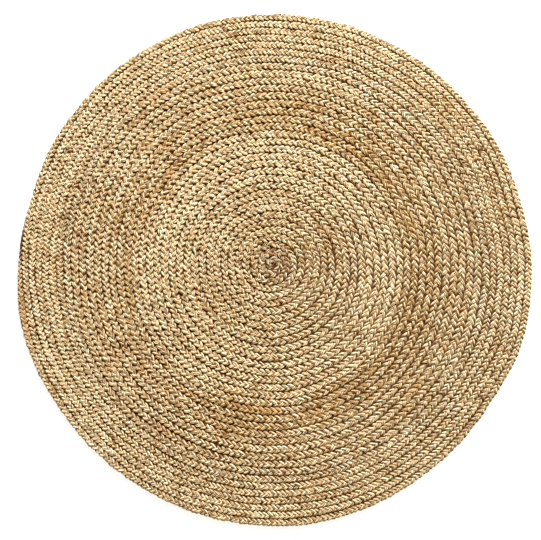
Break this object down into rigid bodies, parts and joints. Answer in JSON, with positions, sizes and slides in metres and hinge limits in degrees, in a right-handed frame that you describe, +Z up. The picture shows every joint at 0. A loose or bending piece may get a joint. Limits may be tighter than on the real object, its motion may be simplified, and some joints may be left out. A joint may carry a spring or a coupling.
{
  "type": "round braided jute rug",
  "caption": "Flat round rug of natural jute, one plaited braid coiled into a disc and sewn edge to edge, with a slightly uneven rounded rim and a flat underside.",
  "frame": {"origin": "under the middle of the rug's bounding box, on the surface that it lies on", "axes": "+Z up, out of the rug's face; +X and +Y lie in the floor, with +Y towards the edge shown at the top when seen from above"},
  "size_m": [1.207, 1.2016, 0.01],
  "materials": {
    "jute_braid": "natural undyed jute, coarse three-strand braid, matt with a silky fibre sheen"
  },
  "bodies": {
    "root": {"braided_rug": "jute_braid"}
  },
  "joints": []
}
